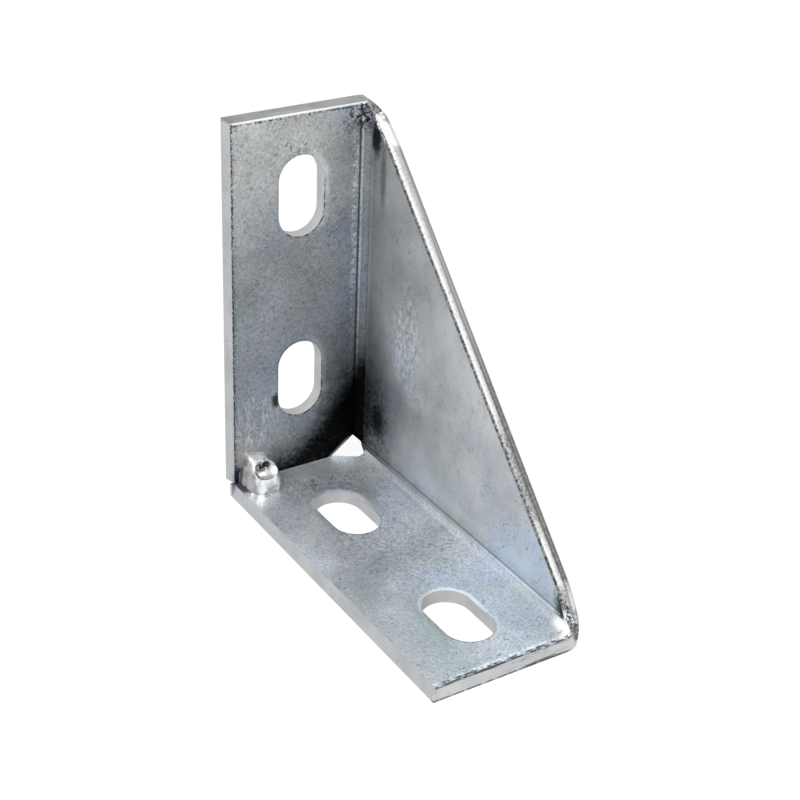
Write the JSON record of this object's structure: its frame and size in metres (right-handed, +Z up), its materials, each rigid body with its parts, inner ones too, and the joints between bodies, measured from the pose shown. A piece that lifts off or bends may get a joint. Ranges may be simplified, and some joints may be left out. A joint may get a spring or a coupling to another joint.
{
  "type": "strut angle fitting",
  "caption": "Folded zinc-plated steel angle with a triangular side gusset, two slotted flanges at right angles and a tack weld in the heel, for joining strut channels.",
  "frame": {"origin": "centre of the base flange's two slots, on its underside", "axes": "+Z up along the back flange, +Y out of the back flange's outer face, +X across the flanges from the free edges to the gusset"},
  "size_m": [0.0421, 0.0988, 0.1018],
  "materials": {
    "zinc_plate": "bright zinc plating over rolled steel, mottled bluish grey with fine dark specks",
    "weld_metal": "plated weld bead, bright and lumpy"
  },
  "bodies": {
    "root": {"angle_plate": "zinc_plate", "tack_weld": "weld_metal"}
  },
  "joints": []
}
